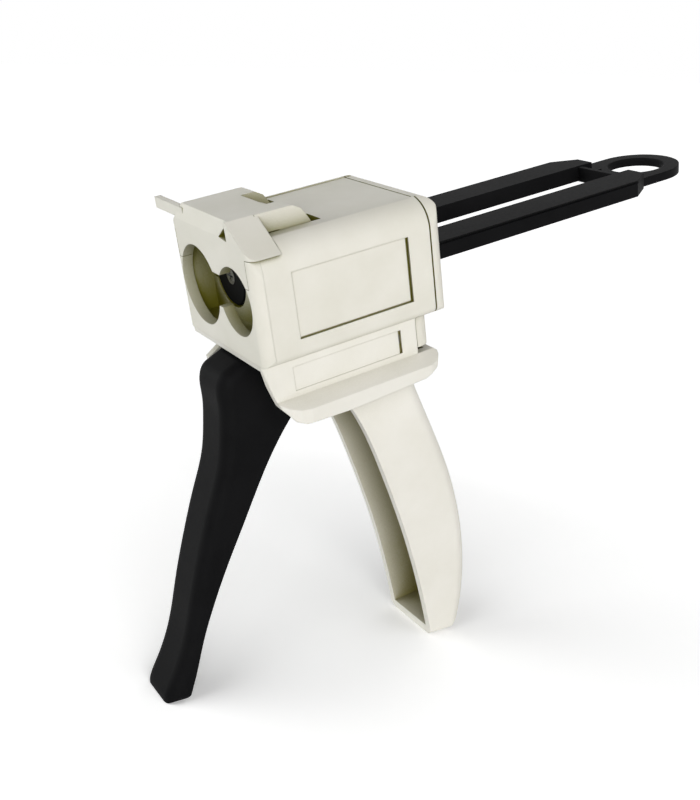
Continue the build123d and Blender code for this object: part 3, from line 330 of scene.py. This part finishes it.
@dataclass(frozen=True)
class DrawnSteel:
    """Bright steel pin or wire, drawn through a die, with fine lines along its length.

    The die's lines are about 0.02 mm apart; they are drawn 0.25 mm apart, so that they show.
    """

    name: str
    light: str
    shade: str
    along: Axis
    roughness: float = 0.32
    polished: float = 0.1
    dulled: float = 0.12
    line_mm: float = 0.25
    run_mm: float = 9.0
    line_height_mm: float = 0.01
    line_strength: float = 0.4

    def build(self) -> bpy.types.Material:
        """Make the material.

        Returns:
            The finished material.
        """
        material, tree = new_material(self.name)
        place = add_node(tree, "ShaderNodeTexCoord").outputs["Object"]
        stretch = [scale_for(self.line_mm)] * len(Axis)
        stretch[self.along.value] = scale_for(self.run_mm)
        mapped = add_node(tree, "ShaderNodeMapping", {"Vector": place, "Scale": stretch})
        lines = add_node(
            tree,
            "ShaderNodeTexNoise",
            {"Vector": mapped.outputs[0], "Scale": 1.0, "Detail": 2.0},
        )
        colour = add_node(
            tree,
            "ShaderNodeMix",
            {"Factor": lines.outputs["Fac"], 6: linear(self.shade), 7: linear(self.light)},
            data_type="RGBA",
        )
        roughness = add_node(
            tree,
            "ShaderNodeMapRange",
            {
                "Value": lines.outputs["Fac"],
                "To Min": self.roughness - self.polished,
                "To Max": self.roughness + self.dulled,
            },
        )
        bump = add_node(
            tree,
            "ShaderNodeBump",
            {
                "Strength": self.line_strength,
                "Distance": self.line_height_mm * MM,
                "Height": lines.outputs["Fac"],
            },
        )
        shader = add_node(
            tree,
            "ShaderNodeBsdfPrincipled",
            {
                "Base Color": colour.outputs[2],
                "Metallic": 1.0,
                "Roughness": roughness.outputs[0],
                "Normal": bump.outputs["Normal"],
            },
        )
        add_node(tree, "ShaderNodeOutputMaterial", {"Surface": shader.outputs[0]})
        return material


@dataclass(frozen=True)
class PaleFloor:
    """Matt white sweep of painted board, seen as near white where no shadow falls.

    The gun stands in light from its right and front, and a painted shadow dims the board
    softly behind it: where the board, looking towards that light, sees less than all of it,
    its glow falls, down to dimmed times the glow at painted_shadow_full.
    """

    name: str = "matt_white_board"
    colour: str = "f4f4f4"
    glow: float = 0.69
    painted_shadow_share: float = 0.35
    painted_shadow_full: float = 0.68
    painted_shadow_rays: int = 16
    painted_shadow_reach_mm: float = 200.0
    painted_shadow_facing: tuple[float, float, float] = (0.5, -0.6, 0.62)
    grain_mm: float = 3.0
    grain_height_mm: float = 0.02
    grain_strength: float = 0.2

    def build(self) -> bpy.types.Material:
        """Make the material, brighter to the camera than to the object.

        Returns:
            The finished material.
        """
        material, tree = new_material(self.name)
        place = add_node(tree, "ShaderNodeTexCoord").outputs["Object"]
        grain = add_node(
            tree, "ShaderNodeTexNoise", {"Vector": place, "Scale": scale_for(self.grain_mm)}
        )
        bump = add_node(
            tree,
            "ShaderNodeBump",
            {
                "Strength": self.grain_strength,
                "Distance": self.grain_height_mm * MM,
                "Height": grain.outputs["Fac"],
            },
        )
        board = add_node(
            tree,
            "ShaderNodeBsdfDiffuse",
            {"Color": linear(self.colour), "Normal": bump.outputs["Normal"]},
        )
        painted_shadow_lit_from = add_node(
            tree,
            "ShaderNodeCombineXYZ",
            {"X": self.painted_shadow_facing[0], "Y": self.painted_shadow_facing[1], "Z": self.painted_shadow_facing[2]},
        )
        # painted shadow: the glow dims where the board, looking towards the light, sees the gun
        painted_shade_openness = add_node(
            tree,
            "ShaderNodeAmbientOcclusion",
            {"Distance": self.painted_shadow_reach_mm * MM, "Normal": painted_shadow_lit_from.outputs[0]},
            samples=self.painted_shadow_rays,
        )
        level = add_node(
            tree,
            "ShaderNodeMapRange",
            {
                "Value": painted_shade_openness.outputs["AO"],
                "From Min": self.painted_shadow_full,
                "To Min": self.glow * self.painted_shadow_share,
                "To Max": self.glow,
            },
        )
        strength = add_node(
            tree,
            "ShaderNodeMath",
            {0: seen_directly(tree), 1: level.outputs[0]},
            operation="MULTIPLY",
        )
        glow = add_node(
            tree,
            "ShaderNodeEmission",
            {"Color": WHITE, "Strength": strength.outputs[0]},
        )
        both = add_node(tree, "ShaderNodeAddShader", {0: board.outputs[0], 1: glow.outputs[0]})
        add_node(tree, "ShaderNodeOutputMaterial", {"Surface": both.outputs[0]})
        return material


# ABS, moulded in a spark-eroded tool: warm ivory with a soft broad sheen
IVORY_ABS = MouldedPlastic(
    name="ivory_abs_moulded",
    light="efece1",
    shade="e8e5d8",
    roughness=0.46,
    roughness_spread=0.05,
    shine=0.3,
    # olive painted shade, multiplied into hollows and seams
    recess_painted_shade="77741a",
)
# The same ABS on the lower body, painted a shade lighter for the stronger light on it, with
# painted shade only where its own walls close it in
GRIP_ABS_PAINTED_LIGHTER = replace(
    IVORY_ABS,
    name="ivory_abs_moulded_grip_painted_lighter",
    # painted light: lighter shades than the same ABS on the upper mouldings
    light="f4f1e8",
    shade="eeebe0",
    recess_painted_shade="7c7528",
    recess_painted_shade_full=0.2,
    recess_painted_shade_own=True,
)
# Glass-filled nylon, moulded: near black and dull, with faint specks
BLACK_NYLON = MouldedPlastic(
    name="black_glass_filled_nylon_moulded",
    light="131314",
    shade="0b0b0c",
    roughness=0.56,
    roughness_spread=0.08,
    ior=1.53,
    shine=0.03,
    grain_mm=0.55,
    grain_height_mm=0.02,
    speck_mm=0.9,
    speck_strength=0.3,
)
# Acetal, moulded and polished: milky white and slightly waxy
WHITE_ACETAL = MouldedPlastic(
    name="white_acetal_moulded",
    light="e9e8e2",
    shade="dddcd4",
    roughness=0.3,
    roughness_spread=0.04,
    ior=1.48,
    texture=Texture.POLISHED,
)
# Drawn steel pins across the gun: bright, with lines along X
PIN_STEEL = DrawnSteel(
    name="drawn_steel_pin", light="c9c9cb", shade="9fa0a3", along=Axis.ACROSS
)
# Zinc-plated screw steel and spring wire: slightly darker, with lines along Y
WIRE_STEEL = DrawnSteel(
    name="drawn_spring_steel",
    light="b5b6b9",
    shade="86878b",
    along=Axis.REARWARDS,
    roughness=0.28,
)


def dress(node: str, material: bpy.types.Material) -> None:
    """Give a CAD node's object one material.

    Args:
        node: Name of the CAD node.
        material: Material for all of it.
    """
    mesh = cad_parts[node].data
    mesh.materials.clear()
    mesh.materials.append(material)
    LOG.info("dressed %s in %s", node, material.name)


@dataclass
class MouldedBody:
    """Ivory mouldings: housing, rear cap, lid, release lever and lower body with its grip."""

    upper: tuple[str, ...] = (
        "front_plate",
        "cartridge_housing",
        "rear_cap",
        "cartridge_lid",
        "release_lever",
    )
    lower: str = "handle_frame"

    def build(self, plastic: bpy.types.Material, grip_plastic_painted_lighter: bpy.types.Material) -> None:
        """Dress the mouldings.

        Args:
            plastic: Plastic of the upper mouldings.
            grip_plastic_painted_lighter: Plastic of the lower body with its grip, painted a shade
                lighter for the light on it.
        """
        for node in self.upper:
            dress(node, plastic)
        dress(self.lower, grip_plastic_painted_lighter)


@dataclass
class Plunger:
    """Black plunger: rods with ring, and the two pistons."""

    nodes: tuple[str, ...] = ("plunger_rods", "large_piston", "small_piston")

    def build(self, plastic: bpy.types.Material) -> None:
        """Dress the plunger.

        Args:
            plastic: Its plastic.
        """
        for node in self.nodes:
            dress(node, plastic)


@dataclass
class TriggerUnit:
    """Black trigger with its white bushes, and the two pawls."""

    mouldings: tuple[str, ...] = ("trigger", "drive_pawl", "holding_pawl")
    bushes: str = "trigger_bushes"

    def build(self, plastic: bpy.types.Material, acetal: bpy.types.Material) -> None:
        """Dress the trigger and the pawls.

        Args:
            plastic: Plastic of the mouldings.
            acetal: Plastic of the bushes.
        """
        for node in self.mouldings:
            dress(node, plastic)
        dress(self.bushes, acetal)


@dataclass
class Fittings:
    """Steel pins, screws, clips and springs."""

    pins: tuple[str, ...] = (
        "lid_hinge_pin",
        "trigger_pin",
        "drive_pawl_pin",
        "holding_pawl_pin",
        "release_lever_pin",
        "pawl_pin_clips",
    )
    wires: tuple[str, ...] = (
        "trigger_return_spring",
        "drive_pawl_spring",
        "holding_pawl_spring",
        "rear_cap_screws",
        "housing_screws",
        "piston_screws",
    )

    def build(self, pin_steel: bpy.types.Material, wire_steel: bpy.types.Material) -> None:
        """Dress the fittings.

        Args:
            pin_steel: Steel of the pins and clips.
            wire_steel: Steel of the springs and screws.
        """
        for node in self.pins:
            dress(node, pin_steel)
        for node in self.wires:
            dress(node, wire_steel)


@dataclass
class SoftLamp:
    """A broad, far lamp whose light falls evenly on the whole table.

    Its azimuth runs from the gun's right side towards its front, in degrees. A lamp that
    isn't mirrored is a dull wall's light, which leaves no highlight on the plastic.
    """

    name: str
    azimuth: float
    elevation: float
    strength: float
    spread: float = 50.0
    colour: tuple[float, float, float] = (1.0, 1.0, 1.0)
    mirrored: bool = True

    def build(self) -> bpy.types.Object:
        """Add the lamp to the scene.

        Returns:
            The lamp's object.
        """
        data = bpy.data.lights.new(self.name, "SUN")
        data.energy = self.strength
        data.angle = math.radians(self.spread)
        data.color = self.colour
        lamp = bpy.data.objects.new(self.name, data)
        bpy.context.scene.collection.objects.link(lamp)
        turn, rise = math.radians(self.azimuth), math.radians(self.elevation)
        towards = Vector(
            (math.cos(rise) * math.cos(turn), -math.cos(rise) * math.sin(turn), math.sin(rise))
        )
        lamp.rotation_euler = (-towards).to_track_quat("-Z", "Y").to_euler()
        lamp.visible_glossy = self.mirrored
        return lamp


@dataclass
class Studio:
    """Pale floor, soft lamps, white surroundings and the camera.

    The camera's place and range of sight are in metres, its angles are in degrees, and its
    focal length is in pixels of the photograph's frame.
    """

    floor_half: float = 3.0
    floor_drop: float = 0.00005
    surround: float = 0.15
    camera_place: tuple[float, float, float] = (0.28125, -0.21465, 0.20674)
    azimuth: float = 57.38
    elevation: float = 19.54
    roll: float = 3.06
    focal_px: float = 1112.6
    frame_px: tuple[int, int] = (700, 800)
    sensor_mm: float = 36.0
    sight: tuple[float, float] = (0.01, 20.0)
    lamps: tuple[SoftLamp, ...] = field(
        default_factory=lambda: (
            SoftLamp("key_lamp", azimuth=20.0, elevation=8.0, strength=3.0),
            SoftLamp(
                "front_lamp",
                azimuth=130.0,
                elevation=4.0,
                strength=1.8,
                colour=(0.97, 1.0, 0.98),
            ),
            SoftLamp(
                "back_lamp", azimuth=235.0, elevation=10.0, strength=1.0, mirrored=False
            ),
        )
    )

    def floor(self) -> None:
        """Lay the floor, a hair under the feet."""
        mesh = bpy.data.meshes.new("studio_floor")
        half = self.floor_half
        ways = ((-1, -1), (1, -1), (1, 1), (-1, 1))
        corners = [(across * half, back * half, -self.floor_drop) for across, back in ways]
        mesh.from_pydata(corners, [], [range(len(corners))])
        board = bpy.data.objects.new("studio_floor", mesh)
        bpy.context.scene.collection.objects.link(board)
        mesh.materials.append(PaleFloor().build())

    def surroundings(self) -> None:
        """Set the world: white to the camera, softer to the object."""
        world = bpy.data.worlds.new("white_studio")
        bpy.context.scene.world = world
        world.use_nodes = True
        tree = world.node_tree
        tree.nodes.clear()
        strength = add_node(
            tree,
            "ShaderNodeMapRange",
            {"Value": seen_directly(tree), "To Min": self.surround, "To Max": 1.0},
        )
        sky = add_node(
            tree,
            "ShaderNodeBackground",
            {"Color": WHITE, "Strength": strength.outputs[0]},
        )
        add_node(tree, "ShaderNodeOutputWorld", {"Surface": sky.outputs[0]})

    def camera(self) -> None:
        """Place the camera where the photograph was taken from."""
        data = bpy.data.cameras.new("photo_camera")
        data.sensor_fit = "VERTICAL"
        data.sensor_height = self.sensor_mm
        data.lens = self.focal_px * self.sensor_mm / self.frame_px[1]
        data.clip_start, data.clip_end = self.sight
        turn, rise, lean = (math.radians(v) for v in (self.azimuth, self.elevation, self.roll))
        back = Vector(
            (math.sin(turn) * math.cos(rise), -math.cos(turn) * math.cos(rise), math.sin(rise))
        )
        right = Vector((math.cos(turn), math.sin(turn), 0.0))
        up = back.cross(right)
        tilted_right = right * math.cos(lean) + up * math.sin(lean)
        tilted_up = up * math.cos(lean) - right * math.sin(lean)
        axes = Matrix((tilted_right, tilted_up, back)).transposed()
        camera = bpy.data.objects.new("photo_camera", data)
        bpy.context.scene.collection.objects.link(camera)
        camera.matrix_world = Matrix.Translation(self.camera_place) @ axes.to_4x4()
        bpy.context.scene.camera = camera

    def build(self) -> None:
        """Set up floor, surroundings, lamps and camera."""
        self.camera()
        self.floor()
        self.surroundings()
        for lamp in self.lamps:
            lamp.build()
        bpy.context.scene.view_settings.view_transform = "Standard"


def main() -> None:
    """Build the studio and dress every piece."""
    Studio().build()
    ivory = IVORY_ABS.build()
    grip_ivory_painted_lighter = GRIP_ABS_PAINTED_LIGHTER.build()
    black = BLACK_NYLON.build()
    acetal = WHITE_ACETAL.build()
    pin_steel = PIN_STEEL.build()
    wire_steel = WIRE_STEEL.build()
    MouldedBody().build(ivory, grip_ivory_painted_lighter)
    Plunger().build(black)
    TriggerUnit().build(black, acetal)
    Fittings().build(pin_steel, wire_steel)
    bpy.context.view_layer.update()


if __name__ == "__main__":
    main()
